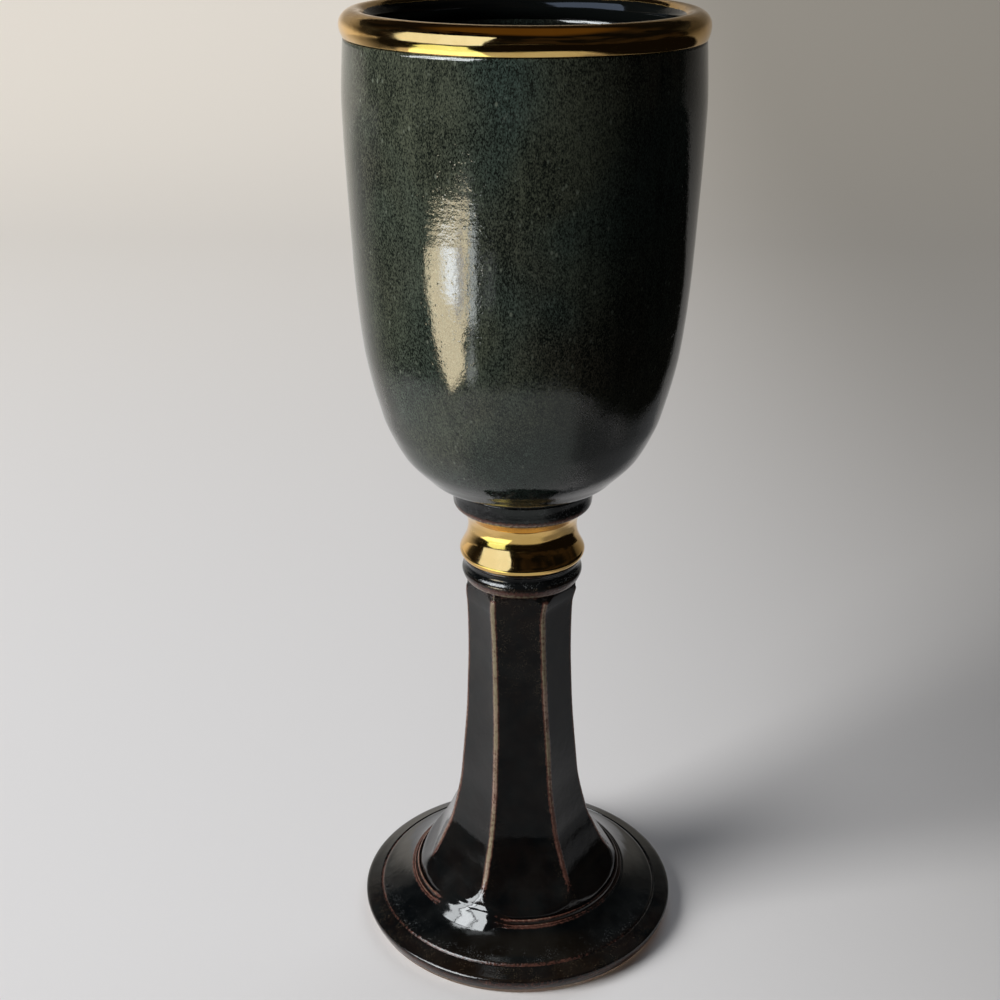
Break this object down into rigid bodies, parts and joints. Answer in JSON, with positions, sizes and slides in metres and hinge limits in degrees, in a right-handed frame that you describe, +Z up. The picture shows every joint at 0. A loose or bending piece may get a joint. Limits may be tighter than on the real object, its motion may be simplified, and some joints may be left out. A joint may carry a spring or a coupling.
{
  "type": "ceramic chalice",
  "caption": "Tall footed drinking cup: a deep round-bottomed cup with a rolled gilt rim on a gilt knop, neck bead and hollow faceted flaring stem, standing on a low turned foot.",
  "frame": {"origin": "centre of the foot's underside, on the turning axis, at the resting plane", "axes": "+Z up along the turning axis towards the rim; -Y is the side that the picture shows"},
  "size_m": [0.088, 0.088, 0.2482],
  "materials": {
    "dark_glaze": "gloss",
    "cup_glaze": "gloss",
    "gold_lustre": "polished",
    "joint_slip": "matte"
  },
  "bodies": {
    "root": {"foot": "dark_glaze", "foot_joint_slip": "joint_slip", "base_coil": "dark_glaze", "stem": "dark_glaze", "neck_joint_slip": "joint_slip", "neck_ring": "dark_glaze", "knop_lower_slip": "joint_slip", "knop": "gold_lustre", "knop_upper_slip": "joint_slip", "bowl_collar": "dark_glaze", "bowl_joint_slip": "joint_slip", "bowl": "cup_glaze", "rim_joint_slip": "joint_slip", "rim_bead": "gold_lustre"}
  },
  "joints": []
}
